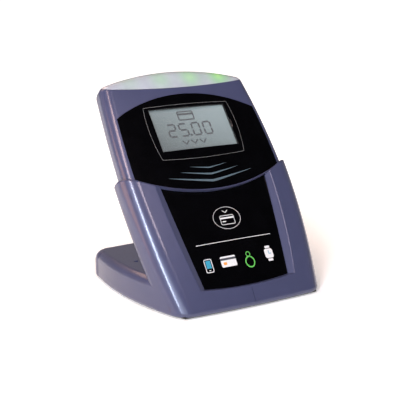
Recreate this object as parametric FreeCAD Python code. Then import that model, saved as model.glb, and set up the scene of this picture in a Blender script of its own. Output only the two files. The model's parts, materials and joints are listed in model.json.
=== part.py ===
import FreeCAD, Part
import math
import os

# Countertop contactless card reader on a V-shaped desk stand. Millimetres, +Z up, front towards -Y.
# The face of the slab is a shallow convex arc. A place on it is given by s, the distance up the face
# from its base edge, and by depth, how far behind the window plane it lies.

# Driving dimensions of the slab
FACE_LEAN = 32.3          # lean of the face from the vertical at its base edge, degrees
FACE_RADIUS = 850.0       # radius of the face seen from the side
CROWN_RADIUS = 700.0      # radius of the face across its width
REAR_BOW_RADIUS = 420.0   # radius of the back across its width
WALL = 2.2                # moulded wall of the shells
FLOOR = 1.5               # wall behind the windows
WINDOW = 1.2              # thickness of both windows
TAPE = 0.2                # thickness of the adhesive sheets
TOP_S = 144.5             # highest point of the head
SEAT_S = 72.0             # height of the collar, where the slide direction is tangent to the face

# Stand
CHEEK_DEPTH = -2.3        # the cheeks stand proud of the window plane
STAND_REAR = 19.5         # back of the stand's arm
STAND_SPLIT = 8.0         # parting surface of front cover and rear shell
BASE_Z = 0.8              # underside of the mouldings, above the rubber feet's contact plane
FOOT_END = 95.5           # back of the foot
FOOT_TOP_FRONT = 17.4     # height of the foot's top where it meets the arm
FOOT_TOP_REAR = 15.2      # and at its back
SIDE_HALF_WIDTH = 52.6    # widest half width of the stand
SIDE_RADIUS = 155.0       # plan radius of its sides
SIDE_CENTRE_Y = 55.0      # where the sides are widest
BASE_EDGE_RADIUS = 2.0
COLLAR_EDGE_RADIUS = 1.2
COLLAR_RADIUS = 98.0      # radius of the collar's upper edge
COLLAR_S = 67.2           # lowest point of that edge
HEAD_S = 67.0             # lowest point of the head, which stands in the collar
RIM = 1.0                 # height of the rim between the two windows

# Head and tongue of the reader
HEAD_REAR = 17.0
HEAD_SPLIT = 8.5
HEAD_HALF_WIDTH = 49.8    # at the collar
HEAD_TOP_HALF_WIDTH = 45.9
HEAD_SHOULDER_S = 133.5
LIGHT_BAR_S = 131.2
TONGUE_HALF_WIDTH = 33.0
TONGUE_LENGTH = 52.0      # below the collar
TONGUE_FRONT = 5.6        # depth of its front and back under the tangent plane at the collar
TONGUE_REAR = 14.6
TONGUE_WALL = 1.4
FIT_GAP = 0.4             # running gap between reader and stand
SHELL_CORNER_FRONT = 6.0
SHELL_CORNER_REAR = 5.0
STAND_CORNER_FRONT = 9.0
STAND_CORNER_REAR = 7.0
FOOT_CORNER = 5.0

TONGUE_CORNER = 2.5
TONGUE_SPLIT = 10.1
SHELF_WALL = 1.6
RECESS_SLOPE_TOP = 2.6    # slope of the lower recess's side walls, sideways over depth, at their top
RECESS_SLOPE_BOTTOM = 1.9
RECESS_SLOPE_CHIN = 0.5
RIDGE_RADIUS = 1.5        # rounding of the edges between recess and cheeks
LENS_WALL = 1.8
LIGHT_BAR_RADIUS = 700.0  # of the light bar's lower edge
LENS_REAR = 10.2          # back edge of the light bar

# Electronics and fasteners
PIN_COUNT = 6
PIN_PITCH = 2.54
PIN_SLOT_X = 8.2
WIRE_COUNT = 8
COIL_TURNS = 4
LED_COUNT = 4
LED_PITCH = 19.0
COVER_SCREW_R, COVER_HEAD_R, COVER_SEAT = 1.0, 2.0, 13.5
HEAD_SCREW_R, HEAD_SCREW_HEAD_R, HEAD_SCREW_SEAT = 0.9, 1.7, 12.4
BASE_SCREW_R, BASE_HEAD_R = 1.2, 2.4
BASE_PLATE = 2.0
FOOT_PAD_R = 5.0
SOCKET_MOUTH = (-16.0, -4.3, 4.4, 11.2)     # x and z limits of the data socket's mouth
JACK_X, JACK_Z, JACK_HOLE_R = 12.5, 7.9, 3.2

# Display
LCD_S = 105.4
LCD_WIDTH = 47.7
LCD_HEIGHT = 26.0

FAR = 200.0
X_AXIS = FreeCAD.Vector(1, 0, 0)
Z_AXIS = FreeCAD.Vector(0, 0, 1)
START = math.radians(FACE_LEAN)


# Frames on the slab

def vec(x, y, z):
    return FreeCAD.Vector(x, y, z)


def lean(s):
    return START + s / FACE_RADIUS


def face_point(s, depth=0.0):
    a = lean(s)
    y = FACE_RADIUS * (math.cos(START) - math.cos(a)) + depth * math.cos(a)
    z = FACE_RADIUS * (math.sin(a) - math.sin(START)) - depth * math.sin(a)
    return vec(0, y, z)


def on_face(shape, s, depth=0.0):
    """Moves a shape drawn with x across, y up the face and z out of it to a place on the face."""
    moved = shape.copy()
    turn = FreeCAD.Rotation(X_AXIS, 90.0 - math.degrees(lean(s)))
    moved.Placement = FreeCAD.Placement(face_point(s, depth), turn).multiply(moved.Placement)
    return moved


def in_slide(shape):
    """The straight frame of the slide: y is the way the reader leaves the stand."""
    return on_face(shape, SEAT_S)


def up_slide():
    a = lean(SEAT_S)
    return vec(0, math.sin(a), math.cos(a))


def face_normal(s):
    a = lean(s)
    return vec(0, -math.cos(a), math.sin(a))


# Simple solids

def block(x0, x1, y0, y1, z0, z1):
    return Part.makeBox(x1 - x0, y1 - y0, z1 - z0, vec(x0, y0, z0))


def rounded_block(x0, x1, y0, y1, z0, z1, radius, along="z"):
    box = block(x0, x1, y0, y1, z0, z1)
    direction = {"x": vec(1, 0, 0), "y": vec(0, 1, 0), "z": Z_AXIS}[along]
    edges = [e for e in box.Edges if abs(e.tangentAt(e.FirstParameter).dot(direction)) > 0.99]
    return box.makeFillet(radius, edges)


def rod(radius, x, y, z0, z1):
    return Part.makeCylinder(radius, z1 - z0, vec(x, y, z0))


def line(a, b):
    return Part.makeLine(a, b)


def arc(a, middle, b):
    return Part.Arc(a, middle, b).toShape()


def prism(edges, z0, z1):
    face = Part.Face(Part.Wire(edges))
    solid = face.extrude(vec(0, 0, z1 - z0))
    solid.translate(vec(0, 0, z0))
    return solid


def one_solid(shape):
    solids = sorted(shape.Solids, key=lambda item: item.Volume)
    return solids[-1]


def group(solids):
    return Part.makeCompound(solids)


def fillet_where(shape, radius, wanted):
    edges = [e for e in shape.Edges if wanted(e)]
    return one_solid(shape.makeFillet(radius, edges))


# Curved bands, bounded by two depths of the slab

def band_profile(s0, s1, front, rear):
    middle = (s0 + s1) / 2
    edges = [
        arc(face_point(s0, front), face_point(middle, front), face_point(s1, front)),
        line(face_point(s1, front), face_point(s1, rear)),
        arc(face_point(s1, rear), face_point(middle, rear), face_point(s0, rear)),
        line(face_point(s0, rear), face_point(s0, front)),
    ]
    return Part.Face(Part.Wire(edges))


def bowed_band(s0, s1, front, rear, axis_depth):
    """Turns the band's profile about an axis along the slide, so that it is curved across its width."""
    axis_point = face_point(SEAT_S, axis_depth)
    sweep = 2 * math.degrees(math.asin(75.0 / abs(axis_depth)))
    profile = band_profile(s0, s1, front, rear)
    profile.rotate(axis_point, up_slide(), -sweep / 2)
    return profile.revolve(axis_point, up_slide(), sweep)


def depth_band(front, rear, s0=-12.0, s1=165.0):
    return bowed_band(s0, s1, front, rear, CROWN_RADIUS)


def rear_band(front, rear, s0=-12.0, s1=165.0):
    return bowed_band(s0, s1, front, rear, rear - REAR_BOW_RADIUS)


# Outlines on the face, drawn at a height of reference

def rise(radius, x):
    return radius - math.sqrt(radius * radius - x * x)


def collar_cut(lowest, s_ref=SEAT_S):
    """Everything above the collar's arc."""
    reach = 70.0
    y0 = lowest - s_ref
    side = y0 + rise(COLLAR_RADIUS, reach)
    edges = [
        arc(vec(-reach, side, 0), vec(0, y0, 0), vec(reach, side, 0)),
        line(vec(reach, side, 0), vec(reach, FAR, 0)),
        line(vec(reach, FAR, 0), vec(-reach, FAR, 0)),
        line(vec(-reach, FAR, 0), vec(-reach, side, 0)),
    ]
    return on_face(prism(edges, -60, 60), s_ref)


def head_outline(inset=0.0, s_ref=100.0):
    """Front outline of the head: arc and two shelves below, bowed sides and an arched top."""
    notch = TONGUE_HALF_WIDTH + 1.0
    low = HEAD_S + inset
    shelf = low + rise(COLLAR_RADIUS, notch) - s_ref
    low -= s_ref
    wide = HEAD_HALF_WIDTH - inset
    top_wide = HEAD_TOP_HALF_WIDTH - inset
    shoulder = HEAD_SHOULDER_S - inset - s_ref
    middle = vec((wide + top_wide) / 2 + 0.9, (shelf + shoulder) / 2, 0)
    corner = vec(top_wide - 3.6, shoulder + 5.2, 0)
    turn = vec(top_wide - 0.9, shoulder + 2.9, 0)
    crest = vec(0, TOP_S - inset - s_ref, 0)
    mirror = lambda p: vec(-p.x, p.y, p.z)
    seat, side = vec(wide, shelf, 0), vec(top_wide, shoulder, 0)
    inner = vec(notch, shelf, 0)
    edges = [
        arc(mirror(inner), vec(0, low, 0), inner),
        line(inner, seat),
        arc(seat, middle, side),
        arc(side, turn, corner),
        arc(corner, crest, mirror(corner)),
        arc(mirror(corner), mirror(turn), mirror(side)),
        arc(mirror(side), mirror(middle), mirror(seat)),
        line(mirror(seat), mirror(inner)),
    ]
    return edges


def head_solid(inset=0.0):
    outline = on_face(prism(head_outline(inset), -60, 60), 100.0)
    body = outline.common(depth_band(inset, 40.0)).common(rear_band(-30.0, HEAD_REAR - inset))
    return one_solid(body)


def window_sides(top_s, top_x, bottom_s, bottom_x, bulge, s_ref):
    middle = vec((top_x + bottom_x) / 2 + bulge, (top_s + bottom_s) / 2 - s_ref, 0)
    return vec(top_x, top_s - s_ref, 0), middle, vec(bottom_x, bottom_s - s_ref, 0)


def panel_outline(top, bottom, crest, low, s_ref, bulge):
    """A four-sided panel with arcs above and below. top and bottom are (half width, s) of its corners."""
    a, middle, b = window_sides(top[1], top[0], bottom[1], bottom[0], bulge, s_ref)
    mirror = lambda p: vec(-p.x, p.y, p.z)
    return [
        arc(mirror(a), vec(0, crest - s_ref, 0), a),
        arc(a, middle, b),
        arc(b, vec(0, low - s_ref, 0), mirror(b)),
        arc(mirror(b), mirror(middle), mirror(a)),
    ]


def display_outline(grow=0.0, below=0.0, s_ref=97.0):
    low = HEAD_S - below
    bottom_x = 44.7 + grow
    bottom = low + rise(COLLAR_RADIUS, bottom_x)
    return panel_outline((43.1 + grow, 115.5 + grow), (bottom_x, bottom), 127.0 + grow, low, s_ref, 0.5)


def lower_outline(sides=0.0, below=0.0, above=0.0, s_ref=42.0, sides_below=None):
    crest = COLLAR_S - RIM - 0.15 + above
    top_x = 32.9 + sides
    bottom_x = 26.0 + (sides if sides_below is None else sides_below)
    return panel_outline((top_x, crest + rise(COLLAR_RADIUS + RIM, top_x)), (bottom_x, 14.3 - below),
                         crest, 12.7 - below, s_ref, 0.2)


# Picking edges to round

FACE_CENTRE = face_point(0, FACE_RADIUS)


def depth_of(p):
    return FACE_RADIUS - math.hypot(p.y - FACE_CENTRE.y, p.z - FACE_CENTRE.z)


def samples(edge):
    a, b = edge.ParameterRange
    return [edge.valueAt(a + (b - a) * i / 2) for i in range(3)]


def rounded(shape, radius, wanted, shortest=0.0, middle_above=-FAR):
    """Rounds the edges whose ends and middle all meet a test, and whose middle lies above a height."""
    edges = [e for e in shape.Edges if e.Length > shortest and samples(e)[1].z > middle_above
             and all(wanted(p) for p in samples(e))]
    return one_solid(shape.makeFillet(radius, edges))


def on_depth(front, near=0.5):
    return lambda p: abs(depth_of(p) - front - rise(CROWN_RADIUS, p.x)) < near


def on_rear(rear, near=0.6):
    return lambda p: abs(depth_of(p) - rear + rise(REAR_BOW_RADIUS, p.x)) < near


# Stand

def plan_outline(inset=0.0):
    """Plan of the stand: bowed sides and a rounded back. In front the face bounds it."""
    def side_x(y):
        return SIDE_HALF_WIDTH - inset - rise(SIDE_RADIUS, y - SIDE_CENTRE_Y)
    front_y, middle_y, back_y = -12.0, 48.0, FOOT_END - 13.0
    back = FOOT_END - inset
    a, middle, b = [vec(side_x(y), y, 0) for y in (front_y, middle_y, back_y)]
    nose = vec(b.x - 12.0, back - 1.6, 0)
    turn = vec(b.x - 2.9, back - 4.6, 0)
    mirror = lambda p: vec(-p.x, p.y, p.z)
    return [
        line(mirror(a), a),
        arc(a, middle, b),
        arc(b, turn, nose),
        arc(nose, vec(0, back, 0), mirror(nose)),
        arc(mirror(nose), mirror(turn), mirror(b)),
        arc(mirror(b), mirror(middle), mirror(a)),
    ]


def foot_top(y):
    slope = (FOOT_TOP_REAR - FOOT_TOP_FRONT) / (FOOT_END - 25.0)
    return FOOT_TOP_FRONT + slope * (y - 25.0)


def foot_profile(inset, floor_z):
    """Side profile of the foot, from inside the arm to past its back."""
    front_y, roof_y, back_y = 8.0, 20.0, FOOT_END + 10.0
    places = [(front_y, floor_z), (back_y, floor_z), (back_y, foot_top(back_y) - inset),
              (roof_y, foot_top(roof_y) - inset)]
    corners = [vec(-70, y, z) for y, z in places]
    face = Part.Face(Part.makePolygon(corners + corners[:1]))
    return face.extrude(vec(140, 0, 0))


def height_on_collar(p):
    """How far a point lies above the collar's cut, along the slide."""
    up = (p - face_point(SEAT_S)).dot(up_slide()) + SEAT_S
    return up - COLLAR_S - rise(COLLAR_RADIUS, p.x)


def arm_and_foot(inset, floor_z):
    plan = prism(plan_outline(inset), floor_z, 120.0)
    arm = plan.common(depth_band(CHEEK_DEPTH + inset, 45.0, -20.0, 95.0))
    arm = one_solid(arm.common(rear_band(-40.0, STAND_REAR - inset, -20.0, 95.0)))
    foot = one_solid(foot_profile(inset, floor_z).common(plan))
    return arm, foot


def stand_outer():
    arm, foot = arm_and_foot(0.0, BASE_Z)
    side = lambda p: abs(p.x) > 41
    front_edge, rear_edge = on_depth(CHEEK_DEPTH), on_rear(STAND_REAR)
    arm = rounded(arm, STAND_CORNER_FRONT, lambda p: side(p) and front_edge(p), 20.0)
    arm = rounded(arm, STAND_CORNER_REAR, lambda p: side(p) and rear_edge(p), 20.0)
    roof = [e for e in foot.Edges
            if all(abs(p.z - foot_top(p.y)) < 0.3 for p in samples(e)) and samples(e)[1].y > 25]
    foot = one_solid(foot.makeFillet(FOOT_CORNER, roof))
    at_base = lambda p: abs(p.z - BASE_Z) < 0.05
    arm = rounded(arm, BASE_EDGE_RADIUS, at_base)
    foot = rounded(foot, BASE_EDGE_RADIUS, at_base)
    whole = one_solid(arm.fuse(foot).removeSplitter())
    whole = one_solid(whole.cut(collar_cut(COLLAR_S)))
    rim = [e for e in whole.Edges if all(abs(height_on_collar(p)) < 0.05 for p in samples(e))]
    return one_solid(whole.makeFillet(COLLAR_EDGE_RADIUS, rim))


def head_prism(grow, y0, y1):
    """The head's cross-section at the collar, drawn along the slide."""
    wide = HEAD_HALF_WIDTH + grow
    front, rear = -grow, HEAD_REAR + grow
    front_side, rear_side = -front - rise(CROWN_RADIUS, wide), -rear + rise(REAR_BOW_RADIUS, wide)
    edges = [
        arc(vec(-wide, y0, front_side), vec(0, y0, -front), vec(wide, y0, front_side)),
        line(vec(wide, y0, front_side), vec(wide, y0, rear_side)),
        arc(vec(wide, y0, rear_side), vec(0, y0, -rear), vec(-wide, y0, rear_side)),
        line(vec(-wide, y0, rear_side), vec(-wide, y0, front_side)),
    ]
    solid = Part.Face(Part.Wire(edges)).extrude(vec(0, y1 - y0, 0))
    long_edges = [e for e in solid.Edges if abs(e.Length - (y1 - y0)) < 0.01]
    front_edges = [e for e in long_edges if e.CenterOfMass.z > front_side - 1]
    solid = solid.makeFillet(SHELL_CORNER_FRONT + grow, front_edges)
    long_edges = [e for e in solid.Edges if abs(e.Length - (y1 - y0)) < 0.01]
    rear_edges = [e for e in long_edges if abs(e.CenterOfMass.z - rear_side) < 0.5]
    return one_solid(solid.makeFillet(SHELL_CORNER_REAR + grow, rear_edges))


def seat_region(drop):
    """Everything above the head's lower edge, an arc between two shelves, lowered by a drop."""
    notch, reach, s_ref = TONGUE_HALF_WIDTH + 1.0, 80.0, 100.0
    low = HEAD_S - drop - s_ref
    shelf = low + rise(COLLAR_RADIUS, notch)
    edges = [
        arc(vec(-notch, shelf, 0), vec(0, low, 0), vec(notch, shelf, 0)),
        line(vec(notch, shelf, 0), vec(reach, shelf, 0)),
        line(vec(reach, shelf, 0), vec(reach, FAR, 0)),
        line(vec(reach, FAR, 0), vec(-reach, FAR, 0)),
        line(vec(-reach, FAR, 0), vec(-reach, shelf, 0)),
        line(vec(-reach, shelf, 0), vec(-notch, shelf, 0)),
    ]
    return on_face(prism(edges, -60, 60), s_ref)


def tongue_block(grow, y0, y1):
    half = TONGUE_HALF_WIDTH + grow
    corner = TONGUE_CORNER + grow
    return in_slide(rounded_block(-half, half, y0, y1, -TONGUE_REAR - grow, -TONGUE_FRONT + grow, corner, "y"))


def lower_recess():
    """Seat of the lower window, with drafted walls up to the cheeks."""
    s_ref = 42.0
    seat = on_face(prism(lower_outline(0.12, 0.12, 0.1), -20, 20), s_ref)
    seat = seat.common(depth_band(-1.5, WINDOW + TAPE))
    floor = Part.Wire(lower_outline(0.12, 0.12, 0.1))
    floor_z, mouth_z = -0.4, 8.0
    height = mouth_z - floor_z
    mouth = Part.Wire(lower_outline(height * RECESS_SLOPE_TOP, height * RECESS_SLOPE_CHIN, 0.1, s_ref,
                                    height * RECESS_SLOPE_BOTTOM))
    floor.translate(vec(0, 0, floor_z))
    mouth.translate(vec(0, 0, mouth_z))
    walls = Part.makeLoft([floor, mouth], True, True)
    return seat, on_face(walls, s_ref)


def stand_hollow():
    arm, foot = arm_and_foot(WALL, -5.0)
    backing = on_face(prism(lower_outline(2.6, 2.0, 0.5), -20, 20), 42.0)
    backing = backing.common(depth_band(-6.0, WINDOW + TAPE + FLOOR))
    pocket_wall = tongue_block(FIT_GAP + TONGUE_WALL, -TONGUE_LENGTH - FIT_GAP - TONGUE_WALL, 30.0)
    shelf_s = HEAD_S - FIT_GAP + rise(COLLAR_RADIUS, TONGUE_HALF_WIDTH + 1.0) - SHELF_WALL
    above_shelf = on_face(block(-90, 90, shelf_s - SEAT_S, FAR, -60, 60), SEAT_S)
    arm = arm.cut(collar_cut(HEAD_S - FIT_GAP - SHELF_WALL)).cut(above_shelf)
    hollow = arm.fuse(foot)
    return hollow.cut(backing).cut(pocket_wall)


def stand_pockets():
    head_pocket = in_slide(head_prism(FIT_GAP, -12.0, 40.0)).common(seat_region(FIT_GAP))
    tongue_pocket = tongue_block(FIT_GAP, -TONGUE_LENGTH - FIT_GAP, 3.0)
    pin_slot = in_slide(block(-PIN_SLOT_X, PIN_SLOT_X, -TONGUE_LENGTH - 6, -TONGUE_LENGTH + 1, -12.6, -8.6))
    return [head_pocket, tongue_pocket, pin_slot]


def screw(radius, head_radius, head_height, length):
    """A pan-head screw that points along -z from the underside of its head at z = 0."""
    shank = Part.makeCylinder(radius, length, vec(0, 0, -length))
    top = Part.makeCylinder(head_radius, head_height)
    top = top.makeFillet(head_height * 0.4, [e for e in top.Edges if abs(e.CenterOfMass.z - head_height) < 1e-6])
    arm_x = head_radius * 0.62
    slot = block(-arm_x, arm_x, -0.3, 0.3, head_height * 0.45, head_height + 1)
    cross = slot.fuse(slot.rotated(vec(0, 0, 0), Z_AXIS, 90.0))
    return one_solid(top.fuse(shank).removeSplitter().cut(cross))


COVER_SCREWS = [(side * 40.0, s) for side in (-1, 1) for s in (46.0, 64.0)]
BASE_SCREWS = [(side * x, y) for side in (-1, 1) for x, y in ((38.0, 30.0), (41.0, 68.0))]
FEET = [(side * x, y) for side in (-1, 1) for x, y in ((33.0, 12.0), (37.0, 83.0))]


def at_screw(shape, x, s, depth):
    """Places a shape drawn along z, pointing into the slab from its back."""
    turned = shape.rotated(vec(0, 0, 0), X_AXIS, 180.0)
    turned.translate(vec(x, 0, 0))
    return on_face(turned, s, depth)


def stand_shells():
    seat, walls = lower_recess()
    shell = one_solid(stand_outer().cut(seat).cut(walls))
    on_cheek = on_depth(CHEEK_DEPTH, 0.15)
    ridge = lambda p: on_cheek(p) and p.z > 8 and 25 < abs(p.x) < 45
    shell = rounded(shell, RIDGE_RADIUS, ridge, 20.0)
    for void in [stand_hollow()] + stand_pockets():
        shell = shell.cut(void)
    shell = one_solid(shell)
    seam = on_face(block(-0.18, 0.18, -40, 10.6, -5, 5), 0.0).common(depth_band(-8.0, CHEEK_DEPTH + 0.4, -20.0))
    front_zone = depth_band(-20.0, STAND_SPLIT, -20.0, 95.0)
    front = one_solid(shell.common(front_zone).cut(seam))
    rear = one_solid(shell.cut(front_zone))
    for x, s in COVER_SCREWS:
        boss = at_screw(rod(2.9, 0, 0, 0, STAND_SPLIT + 2), x, s, -0.8)
        pilot = at_screw(rod(COVER_SCREW_R + 0.05, 0, 0, 0, 10), x, s, 3.0)
        front = one_solid(front.fuse(boss.common(depth_band(-1.0, STAND_SPLIT))).cut(pilot))
        boss = at_screw(rod(2.9, 0, 0, 0, 18.0), x, s, STAND_SPLIT - 1).common(
            depth_band(STAND_SPLIT, 40.0)).common(rear_band(-40.0, STAND_REAR - 0.5))
        bore = at_screw(rod(COVER_SCREW_R + 0.3, 0, 0, -10, 30), x, s, STAND_SPLIT)
        sink = at_screw(rod(COVER_HEAD_R + 0.4, 0, 0, 0, 20), x, s, COVER_SEAT)
        rear = one_solid(rear.fuse(boss).cut(bore).cut(sink))
    for x, y in BASE_SCREWS:
        boss = rod(3.0, x, y, BASE_Z + BASE_PLATE + 0.1, foot_top(y) - 1.0)
        pilot = rod(BASE_SCREW_R + 0.05, x, y, 0, 11.5)
        rear = one_solid(rear.fuse(boss).cut(pilot))
    x0, x1, z0, z1 = SOCKET_MOUTH
    mouth = block(x0 - 0.4, x1 + 0.4, FOOT_END - 5, FOOT_END + 5, z0 - 0.4, z1 + 0.4)
    jack_hole = Part.makeCylinder(JACK_HOLE_R + 0.8, 10, vec(JACK_X, FOOT_END - 5, JACK_Z), vec(0, 1, 0))
    rear = one_solid(rear.cut(mouth).cut(jack_hole))
    return front, rear


def base_plate():
    arm, foot = arm_and_foot(WALL + 0.15, BASE_Z)
    plate = arm.fuse(foot).common(block(-90, 90, -30, 150, BASE_Z, BASE_Z + BASE_PLATE))
    for x, y in BASE_SCREWS:
        plate = plate.cut(rod(BASE_SCREW_R + 0.3, x, y, 0, 10))
        plate = plate.cut(rod(BASE_HEAD_R + 0.3, x, y, 0, BASE_Z + 1.3))
    for x, y in FEET:
        plate = plate.cut(rod(FOOT_PAD_R + 0.1, x, y, 0, BASE_Z + 0.6))
    return one_solid(plate.removeSplitter())


def base_screws():
    body = screw(BASE_SCREW_R, BASE_HEAD_R, 1.1, 9.0)
    body.rotate(vec(0, 0, 0), X_AXIS, 180.0)
    return group([body.translated(vec(x, y, BASE_Z + 1.3)) for x, y in BASE_SCREWS])


def cover_screws():
    body = screw(COVER_SCREW_R, COVER_HEAD_R, 1.5, COVER_SEAT - 3.5)
    return group([at_screw(body, x, s, COVER_SEAT) for x, s in COVER_SCREWS])


def rubber_feet():
    pad = Part.makeCylinder(FOOT_PAD_R, BASE_Z + 0.6)
    pad = pad.makeFillet(0.4, [e for e in pad.Edges if e.CenterOfMass.z < 1e-6 and e.Length > 10])
    return group([pad.translated(vec(x, y, 0)) for x, y in FEET])


def curved_plate(outline, s_ref, front, rear):
    return one_solid(on_face(prism(outline, -20, 20), s_ref).common(depth_band(front, rear)))


def dock_parts():
    top = -TONGUE_LENGTH - FIT_GAP - TONGUE_WALL - 0.1
    housing = in_slide(block(-12, 12, top - 4.1, top, -13.0, -8.2))
    pins = []
    for i in range(PIN_COUNT):
        x = (i - (PIN_COUNT - 1) / 2) * PIN_PITCH
        pin = Part.makeCylinder(0.55, -TONGUE_LENGTH - 0.2 - (top - 3.5), vec(x, top - 3.5, -10.6), vec(0, 1, 0))
        tip = [e for e in pin.Edges if abs(e.CenterOfMass.y - (-TONGUE_LENGTH - 0.2)) < 1e-6 and e.Length > 1]
        pins.append(in_slide(pin.makeFillet(0.3, tip)))
    board = in_slide(block(-16, 16, top - 5.3, top - 4.15, -14.0, -6.5))
    return one_solid(housing.cut(group(pins))), group(pins), board


def ribbon(points, thickness, x0, x1):
    """A flat cable along a path of (y, z) places, bent sharply at each."""
    pieces = []
    for (ya, za), (yb, zb) in zip(points, points[1:]):
        length = math.hypot(yb - ya, zb - za)
        strip = block(x0, x1, 0, length, 0, thickness)
        strip.rotate(vec(0, 0, 0), X_AXIS, math.degrees(math.atan2(zb - za, yb - ya)))
        strip.translate(vec(0, ya, za))
        pieces.append(strip)
    for y, z in points[1:-1]:
        joint = Part.makeCylinder(thickness, x1 - x0, vec(x0, y, z), X_AXIS)
        pieces.append(joint)
    return one_solid(pieces[0].multiFuse(pieces[1:]).removeSplitter())


def foot_electronics():
    x0, x1, z0, z1 = SOCKET_MOUTH
    back = FOOT_END - WALL - 0.9
    socket = block(x0 - 2.1, x1 + 2.1, back - 15.0, back, z0 - 1.1, z1 + 1.1)
    cavity = block(x0, x1, back - 11.5, back + 1, z0, z1)
    key = block((x0 + x1) / 2 - 2.0, (x0 + x1) / 2 + 2.0, back - 3.5, back + 1, z0 - 1.2, z0 + 1)
    jack = rounded_block(JACK_X - 4.5, JACK_X + 4.5, back - 13.0, back, JACK_Z - 4.4, JACK_Z + 4.4, 1.0, "y")
    barrel = Part.makeCylinder(JACK_HOLE_R, 11.0, vec(JACK_X, back - 10.0, JACK_Z), vec(0, 1, 0))
    pin = Part.makeCylinder(1.0, 9.4, vec(JACK_X, back - 10.0, JACK_Z), vec(0, 1, 0))
    pin = pin.makeFillet(0.5, [e for e in pin.Edges if abs(e.CenterOfMass.y - (back - 0.6)) < 1e-6 and e.Length > 3])
    board = block(-30, 30, back - 24.0, back - 2.0, 4.6, 5.8)
    board = board.cut(socket).cut(jack)
    wires = []
    for i in range(WIRE_COUNT):
        x = (x0 + x1) / 2 + (i - (WIRE_COUNT - 1) / 2) * 1.02
        wire = block(x - 0.2, x + 0.2, back - 11.4, back - 3.0, z1 - 0.35, z1 - 0.05)
        drop = block(x - 0.2, x + 0.2, back - 11.4, back - 10.9, z1 - 2.6, z1 - 0.05)
        wires.append(one_solid(wire.fuse(drop).removeSplitter()))
    return {
        "socket_board": one_solid(board),
        "data_socket": one_solid(socket.cut(cavity).cut(key)),
        "socket_contacts": group(wires),
        "power_jack": one_solid(jack.cut(barrel)),
        "power_jack_pin": pin,
        "ballast_plate": rounded_block(-33, 33, 37, 63, 3.0, 8.6, 2.0),
        "dock_ribbon": ribbon([(17.2, 4.1), (29.0, 4.1), (34.0, 9.6), (65.5, 9.6), (69.0, 6.2), (74.0, 6.2)],
                              0.3, -4.0, 4.0),
    }


def stand_parts():
    front, rear = stand_shells()
    housing, pins, dock_board = dock_parts()
    tape = lower_outline(-1.0, -1.0, -1.0)
    parts = {
        "stand_front_cover": front,
        "stand_rear_shell": rear,
        "foot_base_plate": base_plate(),
        "rubber_feet": rubber_feet(),
        "base_screws": base_screws(),
        "cover_screws": cover_screws(),
        "lower_window": curved_plate(lower_outline(), 42.0, 0.0, WINDOW),
        "lower_window_tape": curved_plate(tape, 42.0, WINDOW, WINDOW + TAPE),
        "dock_board": dock_board,
        "dock_block": housing,
        "dock_pins": pins,
    }
    parts.update(foot_electronics())
    return parts


# Reader

HEAD_SCREWS = [(side * x, s) for side in (-1, 1) for x, s in ((43.2, 86.0), (41.4, 123.0))]


def head_outer():
    head = rounded(head_solid(), SHELL_CORNER_REAR, on_rear(HEAD_REAR, 0.4), 2.0, 60.0)
    return rounded(head, SHELL_CORNER_FRONT, on_depth(0.0, 0.3), 2.0, 70.0)


def above(s):
    return on_face(block(-90, 90, 0, FAR, -60, 60), s)


def light_bar_zone(lift, rear):
    """Above a nearly level cut through the head, a little higher at its ends."""
    low = face_point(LIGHT_BAR_S).z + lift
    reach = 60.0
    end = low + rise(LIGHT_BAR_RADIUS, reach)
    edges = [
        arc(vec(-reach, 0, end), vec(0, 0, low), vec(reach, 0, end)),
        line(vec(reach, 0, end), vec(reach, 0, FAR)),
        line(vec(reach, 0, FAR), vec(-reach, 0, FAR)),
        line(vec(-reach, 0, FAR), vec(-reach, 0, end)),
    ]
    zone = Part.Face(Part.Wire(edges)).extrude(vec(0, FAR, 0))
    return zone.common(depth_band(-5.0, rear))


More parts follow.
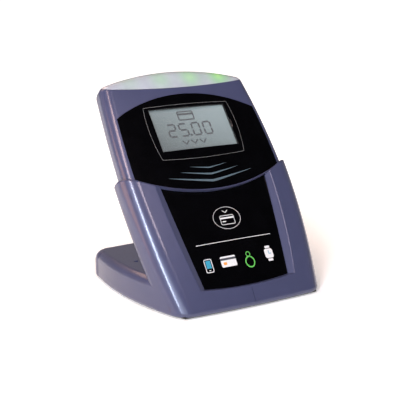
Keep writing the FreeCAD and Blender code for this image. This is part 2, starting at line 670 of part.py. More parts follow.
def reader_shells():
    head = head_outer()
    tongue = tongue_block(0.0, -TONGUE_LENGTH, 6.0)
    floor = WINDOW + TAPE + FLOOR
    head_hollow = head_solid(WALL).common(depth_band(floor, 40.0))
    wall = TONGUE_WALL
    tongue_hollow = tongue_block(-wall, -TONGUE_LENGTH + wall, 12.0)
    bar_zone = light_bar_zone(0.0, LENS_REAR)
    shell = head.fuse(tongue).removeSplitter()
    shell = shell.cut(head_hollow).cut(tongue_hollow)
    shell = shell.cut(bar_zone)
    shell = shell.cut(on_face(prism(display_outline(0.12, 3.0), -20, 20), 97.0).common(
        depth_band(-5.0, WINDOW + TAPE)))
    shell = shell.cut(on_face(rounded_block(-28, 28, -17.5, 17.5, -8, 8, 1.0), LCD_S))
    pad_slot = in_slide(block(-PIN_SLOT_X, PIN_SLOT_X, -TONGUE_LENGTH - 1, -TONGUE_LENGTH + 3, -12.6, -8.6))
    shell = one_solid(shell.cut(pad_slot))
    slide_split = in_slide(block(-90, 90, -90, -2.0, -TONGUE_SPLIT, 60))
    front_zone = depth_band(-20.0, HEAD_SPLIT, 60.0, 165.0).cut(in_slide(block(-90, 90, -90, -2.0, -60, 60)))
    front_zone = front_zone.fuse(slide_split)
    front = one_solid(shell.common(front_zone))
    rear = one_solid(shell.cut(front_zone))
    for x, s in HEAD_SCREWS:
        boss = at_screw(rod(2.4, 0, 0, 0, 12), x, s, floor - 0.6).common(depth_band(floor - 0.6, HEAD_SPLIT))
        pilot = at_screw(rod(HEAD_SCREW_R + 0.05, 0, 0, 0, 20), x, s, floor + 1.0)
        front = one_solid(front.fuse(boss).cut(pilot))
        boss = at_screw(rod(2.4, 0, 0, 0, 16), x, s, HEAD_SPLIT - 1).common(
            depth_band(HEAD_SPLIT, 40.0)).common(rear_band(-40.0, HEAD_REAR - 0.5))
        bore = at_screw(rod(HEAD_SCREW_R + 0.2, 0, 0, -10, 30), x, s, HEAD_SPLIT)
        sink = at_screw(rod(HEAD_SCREW_HEAD_R + 0.2, 0, 0, 0, 20), x, s, HEAD_SCREW_SEAT)
        rear = one_solid(rear.fuse(boss).cut(bore).cut(sink))
    lens = head.common(light_bar_zone(0.1, LENS_REAR - 0.1))
    lens = lens.cut(head_solid(LENS_WALL).common(above(LIGHT_BAR_S - 5)))
    return front, rear, one_solid(lens)


def reader_screws():
    body = screw(HEAD_SCREW_R, HEAD_SCREW_HEAD_R, 1.3, HEAD_SCREW_SEAT - 4.5)
    return group([at_screw(body, x, s, HEAD_SCREW_SEAT) for x, s in HEAD_SCREWS])


def display_parts():
    half_w, half_h = LCD_WIDTH / 2, LCD_HEIGHT / 2
    opening = on_face(block(-half_w, half_w, -half_h, half_h, -9, 9), LCD_S)
    window = curved_plate(display_outline(), 97.0, 0.0, WINDOW)
    tape_hole = on_face(block(-28, 28, -17.5, 17.5, -9, 9), LCD_S)
    tape = curved_plate(display_outline(-1.0, -1.0), 97.0, WINDOW, WINDOW + TAPE)
    frame = block(-30, 30, -20, 20, -7.9, -3.9).cut(block(-26.5, 26.5, -16.5, 16.5, -6.9, 0))
    cable = ribbon([(-19.5, -8.05), (-21.2, -8.05), (-21.2, -9.05), (-24.5, -9.05)], 0.12, -9.0, 9.0)
    return {
        "display_window": one_solid(window.cut(opening)),
        "display_lens": one_solid(opening.common(depth_band(0.0, WINDOW))),
        "display_window_tape": one_solid(tape.cut(tape_hole)),
        "lcd_glass": on_face(block(-26.4, 26.4, -16.0, 16.0, -3.8, -2.0), LCD_S),
        "lcd_frame": on_face(frame, LCD_S),
        "lcd_backlight": on_face(block(-26.3, 26.3, -16.3, 16.3, -6.8, -4.0), LCD_S),
        "lcd_ribbon": on_face(cable, LCD_S),
    }


def board_parts():
    s_ref = 101.0
    board = block(-38.5, 38.5, -22, 24, -11.0, -9.4)
    back = -11.05
    chips = [
        block(-24, -10, 2, 16, back - 1.5, back),
        block(-23, -15, -12, -1, back - 1.1, back),
        block(13, 20, 4, 11, back - 0.9, back),
        block(-6, 6, -21, -17, back - 0.8, back),
        block(24, 34, -16, -12, back - 1.4, back),
    ]
    can = block(6, 32, -4, 20, back - 2.2, back).cut(block(6.3, 31.7, -3.7, 19.7, back - 1.9, back + 1))
    buzzer = Part.makeCylinder(5.5, 1.9, vec(-31, -9, back - 1.9))
    port = Part.makeCylinder(1.0, 1.0, vec(-31, -9, back - 2.5))
    return {
        "main_board": on_face(board, s_ref),
        "main_board_chips": group([on_face(chip, s_ref) for chip in chips]),
        "shield_can": on_face(one_solid(can), s_ref),
        "buzzer": on_face(one_solid(buzzer.cut(port)), s_ref),
    }


def light_bar_parts():
    s_ref = 135.5
    board = block(-36, 36, -2.8, 1.8, -9.4, -8.4)
    leds = []
    for i in range(LED_COUNT):
        x = (i - (LED_COUNT - 1) / 2) * LED_PITCH
        case = rounded_block(x - 1.7, x + 1.7, -1.5, 1.5, -8.35, -7.2, 0.3)
        leds.append(on_face(case, s_ref))
    return {"led_board": on_face(board, s_ref), "status_leds": group(leds)}


def antenna_parts():
    front = -TONGUE_FRONT - TONGUE_WALL
    y0, y1, half = -TONGUE_LENGTH + 3.2, -6.0, 30.0
    loops = []
    for i in range(COIL_TURNS):
        inset = 1.0 + i * 1.5
        outer = block(-half + inset, half - inset, y0 + inset, y1 - inset, front - 0.2, front - 0.05)
        inner = block(-half + inset + 0.8, half - inset - 0.8, y0 + inset + 0.8, y1 - inset - 0.8, front - 1, front)
        loops.append(in_slide(outer.cut(inner)))
    pads = []
    for i in range(PIN_COUNT):
        x = (i - (PIN_COUNT - 1) / 2) * PIN_PITCH
        pads.append(in_slide(block(x - 0.8, x + 0.8, -TONGUE_LENGTH + 0.1, -TONGUE_LENGTH + 1.4, -11.8, -9.4)))
    return {
        "antenna_board": in_slide(block(-half, half, y0, y1, front - 1.0, front - 0.2)),
        "antenna_coil": group(loops),
        "ferrite_sheet": in_slide(block(-half + 1, half - 1, y0 + 1, y1 - 1, front - 1.55, front - 1.05)),
        "pad_board": in_slide(block(-12, 12, -TONGUE_LENGTH + 1.45, -TONGUE_LENGTH + 2.45, -13.0, -8.8)),
        "contact_pads": group(pads),
        "reader_ribbon": in_slide(ribbon([(-TONGUE_LENGTH + 2.5, -12.9), (8.0, -12.9)], 0.2, -5.0, 5.0)),
    }


def reader_parts():
    front, rear, lens = reader_shells()
    parts = {
        "reader_front_shell": front,
        "reader_rear_shell": rear,
        "light_bar_lens": lens,
        "reader_screws": reader_screws(),
    }
    for made in (display_parts(), board_parts(), light_bar_parts(), antenna_parts()):
        parts.update(made)
    return parts


def tight_box(shape):
    return shape.optimalBoundingBox(False, False)


def main():
    os.makedirs("parts", exist_ok=True)
    parts = stand_parts()
    parts.update(reader_parts())
    boxes = [tight_box(shape) for shape in parts.values()]
    middle_y = (min(b.YMin for b in boxes) + max(b.YMax for b in boxes)) / 2
    for name, shape in parts.items():
        placed = shape.translated(vec(0, -middle_y, 0))
        placed.exportStep(os.path.join("parts", name + ".step"))
        print(name, len(placed.Solids), placed.isValid(), round(placed.Volume, 1))
    print("origin is", round(middle_y, 4), "mm behind the face's base edge")


main()
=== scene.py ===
import json
import math

import bmesh
import bpy
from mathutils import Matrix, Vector


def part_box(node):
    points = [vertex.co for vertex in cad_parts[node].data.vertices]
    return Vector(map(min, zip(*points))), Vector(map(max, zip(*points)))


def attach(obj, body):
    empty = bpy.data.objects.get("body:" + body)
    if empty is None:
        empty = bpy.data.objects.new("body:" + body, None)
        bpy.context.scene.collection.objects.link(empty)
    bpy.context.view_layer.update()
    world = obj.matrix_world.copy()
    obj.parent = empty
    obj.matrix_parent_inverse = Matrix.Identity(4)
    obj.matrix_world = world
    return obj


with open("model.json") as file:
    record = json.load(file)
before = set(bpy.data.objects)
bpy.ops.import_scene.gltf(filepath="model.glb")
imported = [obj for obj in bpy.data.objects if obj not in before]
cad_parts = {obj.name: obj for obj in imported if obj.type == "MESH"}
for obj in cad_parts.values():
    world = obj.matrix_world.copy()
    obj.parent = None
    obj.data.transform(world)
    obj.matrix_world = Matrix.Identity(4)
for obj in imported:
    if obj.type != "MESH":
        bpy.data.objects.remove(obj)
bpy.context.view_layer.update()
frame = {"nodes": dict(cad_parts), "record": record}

MM = 0.001
NODES = frame["nodes"]

# Sizes are in millimetres and MM turns them into Blender's metres. The studio's are in metres.
INK_DEPTH, INK_THICKNESS = -0.035, 0.02     # printed marks stand a little in front of the windows
INK_LIFT = 0.03                             # a second layer of ink stands this much further out
LCD_S, LCD_DEPTH = 105.4, 2.0               # middle of the display's glass and its depth behind the face
LED_X, LED_POWERS = (-28.5, -9.5, 9.5, 28.5), (0.15, 0.28, 0.46, 0.72)
CORE_REACH, HALO_REACH = 2.4, 6.2           # how far an LED's bright core and its halo spread
GLOW_OUT, GLOW_UP = 7.2, 2.8                # from an LED's middle to the middle of its glow on the lens
DRIFT_SIZE = 9.0                            # patches of slow drift in a plastic's colour
LCD_EDGE = 3.0                              # the display's painted light gradient runs between these margins
FOCUS = (0, 0, 0.05)                        # where the studio's lights point, in metres


# Places on the slab, in millimetres: x across, s up the face, depth behind the windows' plane

FACE_RADIUS, CROWN_RADIUS = 850.0, 700.0
START, SEAT_S = math.radians(32.3), 72.0
ORIGIN_Y = 48.8121      # the row's origin lies this far behind the base edge of the face


def lean(s):
    """Lean of the face from the vertical, which grows up its curve."""
    return START + s / FACE_RADIUS


def profile(s, depth=0.0):
    a = lean(s)
    y = FACE_RADIUS * (math.cos(START) - math.cos(a)) + depth * math.cos(a)
    z = FACE_RADIUS * (math.sin(a) - math.sin(START)) - depth * math.sin(a)
    return Vector((0, y, z))


UP_SLIDE = Vector((0, math.sin(lean(SEAT_S)), math.cos(lean(SEAT_S))))
OUTWARD = Vector((0, -math.cos(lean(SEAT_S)), math.sin(lean(SEAT_S))))
CROWN_AXIS = profile(SEAT_S, CROWN_RADIUS)


def place(x, s, depth=0.0):
    """A point on the crowned face, in metres in the row's frame."""
    v = profile(s, depth) - CROWN_AXIS
    along, out = v.dot(UP_SLIDE), v.dot(OUTWARD)
    p = CROWN_AXIS + UP_SLIDE * along + OUTWARD * math.sqrt(out * out - x * x)
    return Vector((x, p.y - ORIGIN_Y, p.z)) * MM


def flat_place(s_ref):
    """Places on the flat plane that touches the face at s_ref, as the display's glass is."""
    a = lean(s_ref)
    up, out = Vector((0, math.sin(a), math.cos(a))), Vector((0, -math.cos(a), math.sin(a)))

    def at(x, s, depth=0.0):
        p = profile(s_ref) + up * (s - s_ref) - out * depth
        return Vector((x, p.y - ORIGIN_Y, p.z)) * MM
    return at


# Node materials

def new_material(name):
    material = bpy.data.materials.new(name)
    material.use_nodes = True
    tree = material.node_tree
    shader = tree.nodes["Principled BSDF"]
    return material, tree, shader


def add(tree, kind, operation=None):
    """A new node, with its operation if it has one."""
    node = tree.nodes.new(kind)
    if operation:
        node.operation = operation
    return node


def object_coords(tree):
    return tree.nodes.new("ShaderNodeTexCoord").outputs["Object"]


def noise(tree, coords, size_mm, detail=3.0, roughness=0.5):
    """Noise whose largest features are about size_mm across."""
    node = tree.nodes.new("ShaderNodeTexNoise")
    node.inputs["Scale"].default_value = 1000.0 / size_mm
    node.inputs["Detail"].default_value = detail
    node.inputs["Roughness"].default_value = roughness
    tree.links.new(coords, node.inputs["Vector"])
    return node.outputs["Fac"]


def remap(tree, value, low, high, from_low=0.3, from_high=0.7):
    """Stretches a value to low..high. Noise lies mostly between 0.3 and 0.7."""
    node = tree.nodes.new("ShaderNodeMapRange")
    node.inputs["From Min"].default_value = from_low
    node.inputs["From Max"].default_value = from_high
    node.inputs["To Min"].default_value = low
    node.inputs["To Max"].default_value = high
    tree.links.new(value, node.inputs["Value"])
    return node.outputs["Result"]


def blend_colors(tree, factor, first, second):
    node = tree.nodes.new("ShaderNodeMix")
    node.data_type = "RGBA"
    tree.links.new(factor, node.inputs["Factor"])
    for socket, color in ((node.inputs[6], first), (node.inputs[7], second)):
        if hasattr(color, "is_output"):
            tree.links.new(color, socket)
        else:
            socket.default_value = (*color, 1)
    return node.outputs[2]


def bump(tree, shader, height, distance_mm):
    node = tree.nodes.new("ShaderNodeBump")
    node.inputs["Distance"].default_value = distance_mm * MM
    node.inputs["Strength"].default_value = 1.0
    tree.links.new(height, node.inputs["Height"])
    tree.links.new(node.outputs["Normal"], shader.inputs["Normal"])


def plastic(name, dark, light, rough, grain_mm, grain_height_mm, coat=0.0, coat_rough=0.1, metallic=0.0,
            specular=0.5):
    """Moulded or painted plastic: a slow drift in colour, and a finer grain in roughness and height."""
    material, tree, shader = new_material(name)
    coords = object_coords(tree)
    drift = remap(tree, noise(tree, coords, DRIFT_SIZE, 4.0), 0.0, 1.0)
    tree.links.new(blend_colors(tree, drift, dark, light), shader.inputs["Base Color"])
    grain = noise(tree, coords, grain_mm, 2.0)
    tree.links.new(remap(tree, grain, rough[0], rough[1]), shader.inputs["Roughness"])
    if grain_height_mm:
        bump(tree, shader, grain, grain_height_mm)
    shader.inputs["Metallic"].default_value = metallic
    shader.inputs["Specular IOR Level"].default_value = specular
    shader.inputs["Coat Weight"].default_value = coat
    shader.inputs["Coat Roughness"].default_value = coat_rough
    return material


def metal(name, dark, light, rough, streak_mm=0.6):
    """Bare or plated metal with fine streaks."""
    material, tree, shader = new_material(name)
    coords = object_coords(tree)
    streaks = noise(tree, coords, streak_mm, 5.0, 0.7)
    tree.links.new(blend_colors(tree, remap(tree, streaks, 0, 1), dark, light), shader.inputs["Base Color"])
    tree.links.new(remap(tree, streaks, rough[0], rough[1]), shader.inputs["Roughness"])
    shader.inputs["Metallic"].default_value = 1.0
    bump(tree, shader, streaks, 0.01)
    return material


def print_ink(name, color, speck, glow=0.0):
    """Flat screen-printed ink with a faint speckle, and, where glow is given, a faint painted glow in the
    ink's own colour.
    """
    material, tree, shader = new_material(name)
    coords = object_coords(tree)
    tone = remap(tree, noise(tree, coords, 0.5, 2.0), 0, 1)
    mixed = blend_colors(tree, tone, color, speck)
    tree.links.new(mixed, shader.inputs["Base Color"])
    shader.inputs["Roughness"].default_value = 0.45
    # painted light: the ink glows a little in its own colour, though ink gives no light
    if glow:
        tree.links.new(mixed, shader.inputs["Emission Color"])
        shader.inputs["Emission Strength"].default_value = glow
    return material


def light_bar_material():
    """Milky plastic with a green glow round each LED: a wide halo and a small bright core. The glow is
    painted light, put into the base colour as well as the emission.
    """
    material, tree, shader = new_material("light_bar_milk")
    coords = object_coords(tree)
    low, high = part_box("status_leds")
    centre_y, centre_z = (low[1] + high[1]) / 2, (low[2] + high[2]) / 2
    core_sum, halo_sum = None, None
    for x_mm, power in zip(LED_X, LED_POWERS):
        spot = Vector((x_mm * MM, centre_y, centre_z))
        spot += OUTWARD * (GLOW_OUT * MM) + UP_SLIDE * (GLOW_UP * MM)
        offset = add(tree, "ShaderNodeVectorMath", operation="SUBTRACT")
        tree.links.new(coords, offset.inputs[0])
        offset.inputs[1].default_value = spot
        length = add(tree, "ShaderNodeVectorMath", operation="LENGTH")
        tree.links.new(offset.outputs["Vector"], length.inputs[0])
        sums = []
        for reach_mm, total in ((CORE_REACH, core_sum), (HALO_REACH, halo_sum)):
            ratio = add(tree, "ShaderNodeMath", operation="DIVIDE")
            tree.links.new(length.outputs["Value"], ratio.inputs[0])
            ratio.inputs[1].default_value = reach_mm * MM
            square = add(tree, "ShaderNodeMath", operation="POWER")
            tree.links.new(ratio.outputs[0], square.inputs[0])
            square.inputs[1].default_value = 2.0
            falloff = add(tree, "ShaderNodeMath", operation="POWER")
            falloff.inputs[0].default_value = math.exp(-1)
            tree.links.new(square.outputs[0], falloff.inputs[1])
            scaled = add(tree, "ShaderNodeMath", operation="MULTIPLY")
            tree.links.new(falloff.outputs[0], scaled.inputs[0])
            scaled.inputs[1].default_value = power
            if total is None:
                sums.append(scaled.outputs[0])
            else:
                both = add(tree, "ShaderNodeMath", operation="ADD")
                tree.links.new(total, both.inputs[0])
                tree.links.new(scaled.outputs[0], both.inputs[1])
                sums.append(both.outputs[0])
        core_sum, halo_sum = sums
    clouds = remap(tree, noise(tree, coords, 7.0), 0, 1)
    milk = blend_colors(tree, clouds, (0.38, 0.41, 0.48), (0.44, 0.47, 0.54))
    # painted light: the milk's base colour turns green round each LED, where the LEDs' light shines through
    led_lit_milk = blend_colors(tree, halo_sum, milk, (0.20, 0.50, 0.16))
    tree.links.new(led_lit_milk, shader.inputs["Base Color"])
    hue = blend_colors(tree, core_sum, (0.03, 0.22, 0.02), (0.30, 0.42, 0.08))
    tree.links.new(hue, shader.inputs["Emission Color"])
    tree.links.new(halo_sum, shader.inputs["Emission Strength"])
    shader.inputs["Roughness"].default_value = 0.32
    shader.inputs["Subsurface Weight"].default_value = 0.25
    shader.inputs["Subsurface Radius"].default_value = (1.0, 1.0, 1.0)
    shader.inputs["Subsurface Scale"].default_value = 2 * MM
    shader.inputs["Coat Weight"].default_value = 0.3
    bump(tree, shader, noise(tree, coords, 0.5, 2.0), 0.008)
    return material


def clear_lens_material():
    """Clear insert over the display, nearly invisible but for its gloss."""
    material, tree, shader = new_material("lens_clear")
    coords = object_coords(tree)
    haze = remap(tree, noise(tree, coords, 14.0, 3.0), 0.1, 0.13)
    tree.links.new(haze, shader.inputs["Roughness"])
    shader.inputs["Base Color"].default_value = (0.35, 0.4, 0.4, 1)
    shader.inputs["Alpha"].default_value = 0.10
    shader.inputs["Specular IOR Level"].default_value = 0.15
    return material


def lcd_material():
    """Grey-green reflective display, lit a little from behind, with painted light that makes it brighter
    towards its top right.
    """
    material, tree, shader = new_material("lcd_grey_green")
    coords = object_coords(tree)
    low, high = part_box("lcd_glass")
    parts = add(tree, "ShaderNodeSeparateXYZ")
    tree.links.new(coords, parts.inputs[0])
    margin = LCD_EDGE * MM
    climb = remap(tree, parts.outputs["Z"], 0.0, 0.4, low[2] + margin, high[2] - margin)
    across = remap(tree, parts.outputs["X"], 0.0, 0.6, low[0], high[0])
    both = add(tree, "ShaderNodeMath", operation="ADD")
    tree.links.new(climb, both.inputs[0])
    tree.links.new(across, both.inputs[1])
    # painted light: the display's colour and glow run from dark at its lower left to light at its top right
    shade = blend_colors(tree, both.outputs[0], (0.05, 0.064, 0.068), (0.26, 0.335, 0.35))
    dots = tree.nodes.new("ShaderNodeTexVoronoi")
    dots.inputs["Scale"].default_value = 1500.0     # cells about two thirds of a millimetre across
    tree.links.new(coords, dots.inputs["Vector"])
    grid = remap(tree, dots.outputs["Distance"], 0.0, 0.05, 0.2, 0.6)
    mixed = blend_colors(tree, grid, shade, (0.1, 0.12, 0.12))
    tree.links.new(mixed, shader.inputs["Base Color"])
    tree.links.new(mixed, shader.inputs["Emission Color"])
    shader.inputs["Emission Strength"].default_value = 0.25
    shader.inputs["Roughness"].default_value = 0.4
    return material


def paint(name):
    """Smooth blue-violet lacquer."""
    return plastic(name, (0.056, 0.064, 0.130), (0.061, 0.069, 0.140), (0.28, 0.31), 1.4, 0.0,
                   coat=0.38, coat_rough=0.10, metallic=0.12, specular=0.4)


def black_window(name):
    return plastic(name, (0.0008, 0.0008, 0.0012), (0.0014, 0.0014, 0.002), (0.09, 0.12), 6.0, 0.0,
                   specular=0.2)


MATERIALS = {
    "stand_paint": paint("paint_stand"),
    "reader_paint": paint("paint_reader"),
    "dark_plastic": plastic("plastic_dark", (0.02, 0.02, 0.022), (0.03, 0.03, 0.032), (0.45, 0.6),
                            0.35, 0.03),
    "rubber": plastic("rubber_pad", (0.012, 0.012, 0.012), (0.02, 0.02, 0.02), (0.7, 0.9), 0.3, 0.04),
    "screw_steel": metal("steel_zinc", (0.45, 0.45, 0.47), (0.6, 0.6, 0.6), (0.25, 0.45)),
    "lower_panel": black_window("panel_lower"),
    "upper_panel": black_window("panel_upper"),
    "adhesive": plastic("film_adhesive", (0.5, 0.5, 0.46), (0.6, 0.6, 0.55), (0.6, 0.8), 0.8, 0.02),
    "board": plastic("board_green", (0.01, 0.07, 0.03), (0.015, 0.1, 0.045), (0.3, 0.45), 0.7, 0.02),
    "contact_gold": metal("gold_plate", (0.75, 0.5, 0.18), (0.9, 0.65, 0.28), (0.15, 0.3)),
    "flat_cable": plastic("film_amber", (0.25, 0.11, 0.02), (0.33, 0.15, 0.03), (0.25, 0.4), 1.0, 0.01),
    "ballast_steel": metal("steel_plate", (0.16, 0.16, 0.17), (0.3, 0.3, 0.3), (0.4, 0.6), 1.5),
    "socket_plastic": plastic("plastic_socket", (0.015, 0.015, 0.016), (0.022, 0.022, 0.023), (0.4, 0.5),
                              0.4, 0.02),
    "contact_steel": metal("nickel_plate", (0.6, 0.58, 0.55), (0.75, 0.73, 0.7), (0.12, 0.25)),
    "clear_lens": clear_lens_material(),
    "lcd_glass": lcd_material(),
    "white_plastic": plastic("plastic_white", (0.62, 0.62, 0.6), (0.7, 0.7, 0.68), (0.4, 0.5), 0.5, 0.01),
    "light_guide": plastic("acrylic_guide", (0.7, 0.72, 0.72), (0.78, 0.8, 0.8), (0.1, 0.2), 1.0, 0.005),
    "light_bar": light_bar_material(),
    "led": plastic("resin_led", (0.45, 0.6, 0.3), (0.5, 0.68, 0.35), (0.15, 0.25), 0.5, 0.005),
    "chip_plastic": plastic("plastic_chip", (0.014, 0.014, 0.014), (0.02, 0.02, 0.02), (0.5, 0.65),
                            0.25, 0.02),
    "tin_plate": metal("tin_plate", (0.5, 0.5, 0.5), (0.65, 0.65, 0.64), (0.25, 0.4)),
    "copper": metal("copper_foil", (0.6, 0.28, 0.14), (0.75, 0.38, 0.2), (0.2, 0.35)),
    "ferrite": plastic("ferrite_dark", (0.02, 0.018, 0.018), (0.03, 0.028, 0.027), (0.5, 0.7), 0.4, 0.02),
}

slot_of = {part["node"]: part["material_slot"] for part in frame["record"]["subparts"]}
for name, node in NODES.items():
    node.data.materials.clear()
    node.data.materials.append(MATERIALS[slot_of[name]])


# Printed marks: thin ink on the windows, drawn in (x, s) and laid on the curved face

def finish_ink(name, build, material, body):
    """Makes a drawn mark a thin solid that rides on its window's body."""
    mesh = bpy.data.meshes.new(name)
    build.to_mesh(mesh)
    build.free()
    mesh.materials.append(material)
    piece = bpy.data.objects.new(name, mesh)
    bpy.context.scene.collection.objects.link(piece)
    solid = piece.modifiers.new("ink", "SOLIDIFY")
    solid.thickness = INK_THICKNESS * MM
    solid.offset = -1.0
    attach(piece, body)


def densify(points, step=0.8, closed=False):
    """Points along a path, no further apart than a step."""
    out = []
    pairs = list(zip(points, points[1:] + points[:1])) if closed else list(zip(points, points[1:]))
    for (xa, sa), (xb, sb) in pairs:
        n = max(1, math.ceil(math.hypot(xb - xa, sb - sa) / step))
        out += [(xa + (xb - xa) * i / n, sa + (sb - sa) * i / n) for i in range(n)]
    if not closed:
        out.append(points[-1])
    return out


def stroke(build, points, width, at, closed=False):
    """A line of a given width, or of a width per point, along a path."""
    count = len(points)
    widths = width if isinstance(width, list) else [width] * count
    rails = []
    for i, (x, s) in enumerate(points):
        before = points[(i - 1) % count] if closed or i else points[i]
        after = points[(i + 1) % count] if closed or i < count - 1 else points[i]
        dx, ds = after[0] - before[0], after[1] - before[1]
        size = math.hypot(dx, ds) or 1.0
        nx, ns = -ds / size * widths[i] / 2, dx / size * widths[i] / 2
        left = build.verts.new(at(x + nx, s + ns, INK_DEPTH))
        right = build.verts.new(at(x - nx, s - ns, INK_DEPTH))
        rails.append((left, right))
    spans = list(zip(rails, rails[1:] + rails[:1])) if closed else list(zip(rails, rails[1:]))
    for (la, ra), (lb, rb) in spans:
        build.faces.new((la, ra, rb, lb))


def fill(build, points, at):
    build.faces.new([build.verts.new(at(x, s, INK_DEPTH)) for x, s in points])


def rounded_rectangle(x, s, width, height, radius):
    """Corner points of a rounded rectangle about (x, s)."""
    points = []
    for quarter, (sx, sy) in enumerate(((1, 1), (-1, 1), (-1, -1), (1, -1))):
        cx, cy = sx * (width / 2 - radius), sy * (height / 2 - radius)
        for i in range(6):
            a = math.radians(90 * quarter + 18 * i)
            points.append((x + (cx + radius * math.cos(a)), s + (cy + radius * math.sin(a))))
    return points


def ring_points(x, s, radius_x, radius_s, count=48):
    """Points round an ellipse about (x, s)."""
    turns = [math.radians(360 * i / count) for i in range(count)]
    return [(x + radius_x * math.cos(a), s + radius_s * math.sin(a)) for a in turns]


def bowed(a, b, bulge, count=30):
    """A shallow arc between two places, bulging to its right."""
    dx, ds = b[0] - a[0], b[1] - a[1]
    size = math.hypot(dx, ds)
    out = []
    for i in range(count):
        t = i / count
        push = bulge * 4 * t * (1 - t)
        out.append((a[0] + dx * t + ds / size * push, a[1] + ds * t - dx / size * push))
    return out


ink_white = print_ink("ink_white", (0.62, 0.63, 0.64), (0.72, 0.73, 0.74), 0.05)
ink_grey = print_ink("ink_grey", (0.125, 0.13, 0.13), (0.16, 0.165, 0.165))
ink_blue_grey = print_ink("ink_blue_grey", (0.06, 0.10, 0.125), (0.09, 0.135, 0.165))
ink_teal = print_ink("ink_teal", (0.02, 0.25, 0.38), (0.03, 0.3, 0.45), 0.05)
ink_amber = print_ink("ink_amber", (0.7, 0.25, 0.03), (0.8, 0.33, 0.05), 0.05)
ink_green = print_ink("ink_green", (0.08, 0.42, 0.06), (0.12, 0.5, 0.1), 0.05)
ink_dark = print_ink("ink_dark", (0.03, 0.035, 0.05), (0.04, 0.045, 0.06))
lcd_ink = print_ink("lcd_segment", (0.035, 0.04, 0.05), (0.05, 0.055, 0.065))

# frame line round the display, bowed on every side
line_frame = bmesh.new()
corners = [(-26.5, 119.9), (26.5, 119.9), (25.7, 87.7), (-25.7, 87.7)]
outline = []
for i, bulge in enumerate((-0.5, -1.6, -1.2, -1.6)):
    outline += bowed(corners[i], corners[(i + 1) % 4], bulge)
stroke(line_frame, outline, 0.2, place, closed=True)
finish_ink("display_frame_line", line_frame, ink_grey, "reader")

# three chevrons that point down to the tap area: middle's s, tip's x and s, thickness
CHEVRONS = ((80.1, 11.5, 81.8, 0.7), (76.3, 18.0, 79.2, 1.0), (72.3, 26.2, 76.7, 1.35))
for number, (low_s, tip_x, tip_s, thick) in enumerate(CHEVRONS):
    chevron = bmesh.new()
    points, widths = [], []
    for i in range(-24, 25):
        t = i / 24
        points.append((tip_x * t, low_s + (tip_s - low_s) * abs(t) ** 1.15))
        widths.append(max(0.04, thick * (1 - abs(t)) ** 0.75))
    stroke(chevron, points, widths, place)
    finish_ink("chevron_%d" % (number + 1), chevron, ink_blue_grey, "reader")

# tap target: a ring with a plain bank card in it and an arrow down to it
target = bmesh.new()
stroke(target, ring_points(0, 50.1, 8.3, 6.2), 0.2, place, closed=True)
stroke(target, densify(rounded_rectangle(0, 49.0, 8.4, 5.0, 0.7), closed=True), 0.28, place, closed=True)
fill(target, rounded_rectangle(0, 50.1, 8.1, 0.9, 0.1), place)
fill(target, rounded_rectangle(-2.2, 48.2, 2.2, 0.5, 0.15), place)
for side in (-1, 1):
    stroke(target, [(side * 1.6, 54.4), (0, 53.1)], 0.35, place)
finish_ink("tap_target", target, ink_white, "stand")

rule = bmesh.new()
stroke(rule, densify([(-23.2, 37.6), (23.2, 37.6)]), 0.28, place)
finish_ink("rule_line", rule, ink_white, "stand")

# a row of plain pictograms: phone, card, key fob, watch
phone = bmesh.new()
stroke(phone, densify(rounded_rectangle(-19.4, 26.0, 4.2, 7.0, 0.7), closed=True), 0.4, place, closed=True)
fill(phone, rounded_rectangle(-19.4, 23.5, 1.2, 0.4, 0.15), place)
finish_ink("pictogram_phone", phone, ink_white, "stand")
screen = bmesh.new()
fill(screen, rounded_rectangle(-19.4, 26.7, 2.8, 4.2, 0.3), place)
finish_ink("pictogram_phone_screen", screen, ink_teal, "stand")

card = bmesh.new()
fill(card, rounded_rectangle(-7.3, 26.6, 9.2, 5.8, 0.7), place)
finish_ink("pictogram_card", card, ink_white, "stand")

fob = bmesh.new()
stroke(fob, ring_points(5.4, 24.3, 2.6, 2.9), 0.7, place, closed=True)
stroke(fob, ring_points(5.4, 28.6, 1.2, 1.2, 24), 0.4, place, closed=True)
finish_ink("pictogram_fob", fob, ink_green, "stand")

watch = bmesh.new()
fill(watch, rounded_rectangle(18.4, 27.0, 5.2, 5.2, 1.2), place)
for s in (30.6, 23.4):
    fill(watch, rounded_rectangle(18.4, s, 3.0, 1.3, 0.3), place)
finish_ink("pictogram_watch", watch, ink_white, "stand")


def over(x, s, depth=0.0):
    """Places for ink that lies on a printed mark."""
    return place(x, s, depth - INK_LIFT)


stripe = bmesh.new()
fill(stripe, rounded_rectangle(-7.3, 28.0, 9.2, 1.2, 0.1), over)
finish_ink("pictogram_card_stripe", stripe, ink_dark, "stand")
chip = bmesh.new()
fill(chip, rounded_rectangle(-9.6, 25.6, 2.0, 1.5, 0.3), over)
finish_ink("pictogram_card_chip", chip, ink_amber, "stand")
face = bmesh.new()
stroke(face, [(18.4, 28.6), (18.4, 26.9), (19.7, 26.9)], 0.45, over)
finish_ink("pictogram_watch_hands", face, ink_teal, "stand")

# what the display shows: a card, an amount in plain digits and a row of arrows
on_lcd = flat_place(LCD_S)


def on_glass(x, s, depth=0.0):
    return on_lcd(x, s, depth + LCD_DEPTH)


SEGMENTS = {"0": "abcdef", "2": "abged", "5": "afgcd"}
DIGIT_WIDTH, DIGIT_HEIGHT, DIGIT_PITCH, DIGIT_THICK, DIGIT_S = 4.6, 7.6, 7.2, 1.05, 105.2


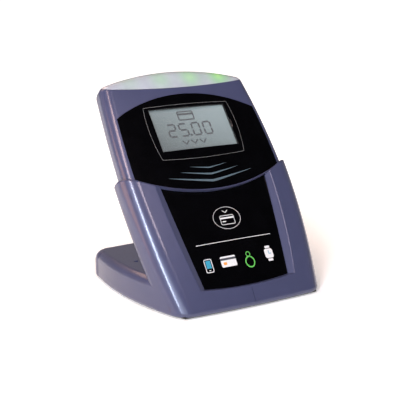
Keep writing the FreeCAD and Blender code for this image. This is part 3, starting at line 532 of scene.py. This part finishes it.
def digit(build, character, x, s, width, height, thick):
    """A seven-segment digit about (x, s)."""
    half, high = width / 2, height / 2
    lines = {
        "a": ((-half, high), (half, high)),
        "b": ((half, high), (half, 0)),
        "c": ((half, 0), (half, -high)),
        "d": ((-half, -high), (half, -high)),
        "e": ((-half, 0), (-half, -high)),
        "f": ((-half, high), (-half, 0)),
        "g": ((-half, 0), (half, 0)),
    }
    for key in SEGMENTS[character]:
        (xa, sa), (xb, sb) = lines[key]
        gap = thick * 0.35
        dx, ds = (xb - xa), (sb - sa)
        size = math.hypot(dx, ds)
        ux, us = dx / size * gap, ds / size * gap
        stroke(build, [(x + xa + ux, s + sa + us), (x + xb - ux, s + sb - us)], thick, on_glass)


amount = bmesh.new()
for first_x, characters in ((-13.0, "25"), (2.2, "00")):
    for i, character in enumerate(characters):
        digit(amount, character, first_x + i * DIGIT_PITCH, DIGIT_S, DIGIT_WIDTH, DIGIT_HEIGHT, DIGIT_THICK)
fill(amount, rounded_rectangle(-2.0, 101.7, 1.2, 1.2, 0.3), on_glass)
finish_ink("lcd_amount", amount, lcd_ink, "reader")

sign = bmesh.new()
stroke(sign, densify(rounded_rectangle(-1.5, 114.0, 9.6, 5.2, 0.8), closed=True), 0.8, on_glass, closed=True)
fill(sign, rounded_rectangle(-1.5, 115.0, 9.2, 1.3, 0.1), on_glass)
finish_ink("lcd_card_sign", sign, lcd_ink, "reader")

arrows = bmesh.new()
for i in range(3):
    x = -7.0 + i * 5.4
    stroke(arrows, [(x - 2.0, 98.6), (x, 96.2), (x + 2.0, 98.6)], 0.95, on_glass)
finish_ink("lcd_arrows", arrows, lcd_ink, "reader")


# Studio

def studio_floor():
    """A wide white disc that glows a little, more so away from the object."""
    mesh = bpy.data.meshes.new("studio_floor")
    build = bmesh.new()
    bmesh.ops.create_circle(build, cap_ends=True, segments=64, radius=9.0)
    build.to_mesh(mesh)
    build.free()
    floor = bpy.data.objects.new("studio_floor", mesh)
    bpy.context.scene.collection.objects.link(floor)
    material, tree, shader = new_material("studio_white")
    shader.inputs["Base Color"].default_value = (0.78, 0.78, 0.78, 1)
    shader.inputs["Roughness"].default_value = 0.8
    shader.inputs["Specular IOR Level"].default_value = 0.1
    length = add(tree, "ShaderNodeVectorMath", operation="LENGTH")
    tree.links.new(object_coords(tree), length.inputs[0])
    glow = remap(tree, length.outputs["Value"], 0.36, 1.0, from_low=0.06, from_high=0.30)
    tree.links.new(glow, shader.inputs["Emission Strength"])
    shader.inputs["Emission Color"].default_value = (1, 1, 1, 1)
    mesh.materials.append(material)


def area_light(name, position, width, height, power, color):
    data = bpy.data.lights.new(name, "AREA")
    data.shape = "RECTANGLE"
    data.size, data.size_y = width, height
    data.energy = power
    data.color = color
    light = bpy.data.objects.new(name, data)
    bpy.context.scene.collection.objects.link(light)
    light.location = position
    light.rotation_mode = "QUATERNION"
    light.rotation_quaternion = (Vector(FOCUS) - Vector(position)).to_track_quat("-Z", "Y")


def studio_world():
    """Dim warm walls up to a dark ceiling."""
    world = bpy.data.worlds.new("studio")
    bpy.context.scene.world = world
    world.use_nodes = True
    tree = world.node_tree
    background = tree.nodes["Background"]
    coords = tree.nodes.new("ShaderNodeTexCoord")
    parts = tree.nodes.new("ShaderNodeSeparateXYZ")
    tree.links.new(coords.outputs["Generated"], parts.inputs[0])
    ramp = tree.nodes.new("ShaderNodeValToRGB")
    tree.links.new(parts.outputs["Z"], ramp.inputs["Fac"])
    stops = ramp.color_ramp.elements
    stops[0].position, stops[0].color = 0.0, (0.40, 0.36, 0.33, 1)
    stops[1].position, stops[1].color = 1.0, (0.02, 0.02, 0.02, 1)
    middle = stops.new(0.30)
    middle.color = (0.25, 0.24, 0.25, 1)
    upper = stops.new(0.56)
    upper.color = (0.02, 0.02, 0.02, 1)
    tree.links.new(ramp.outputs["Color"], background.inputs["Color"])
    background.inputs["Strength"].default_value = 1.0


def photo_camera():
    """A long lens from the front left, a little above the object."""
    data = bpy.data.cameras.new("photo_camera")
    data.sensor_width, data.lens = 36.0, 89.334
    camera = bpy.data.objects.new("photo_camera", data)
    bpy.context.scene.collection.objects.link(camera)
    target = Vector((-20.2, 22.0 - ORIGIN_Y, 55.1)) * MM
    azimuth, elevation, distance = math.radians(-31.03), math.radians(13.98), 507.85 * MM
    back = Vector((math.sin(azimuth) * math.cos(elevation), -math.cos(azimuth) * math.cos(elevation),
                   math.sin(elevation)))
    camera.location = target + back * distance
    camera.rotation_mode = "QUATERNION"
    camera.rotation_quaternion = (-back).to_track_quat("-Z", "Y")
    data.clip_start, data.clip_end = 0.01, 50.0
    bpy.context.scene.camera = camera


def around(azimuth, elevation, distance=1.1):
    """A place round the object: azimuth 0 is in front, negative to the left."""
    a, e = math.radians(azimuth), math.radians(elevation)
    return (distance * math.sin(a) * math.cos(e), -distance * math.cos(a) * math.cos(e),
            distance * math.sin(e) + FOCUS[2])


studio_floor()
studio_world()
area_light("strip_cool", around(-54, 31), 0.12, 0.62, 10.0, (0.80, 0.88, 1.0))
area_light("strip_warm", around(-62, 56), 0.22, 0.40, 4.5, (1.0, 0.66, 0.50))
area_light("strip_front", around(16, 57), 0.14, 0.45, 2.8, (1.0, 0.80, 0.78))
area_light("soft_left", around(-35, 20, 1.5), 0.8, 0.6, 4.2, (0.84, 0.92, 1.0))
area_light("warm_side", around(-103, 14, 1.2), 0.6, 0.5, 3.8, (1.0, 0.52, 0.26))
area_light("back_top", around(-165, 45, 1.2), 0.9, 0.5, 4.6, (1.0, 0.62, 0.40))
photo_camera()
bpy.context.scene.view_settings.view_transform = "Standard"
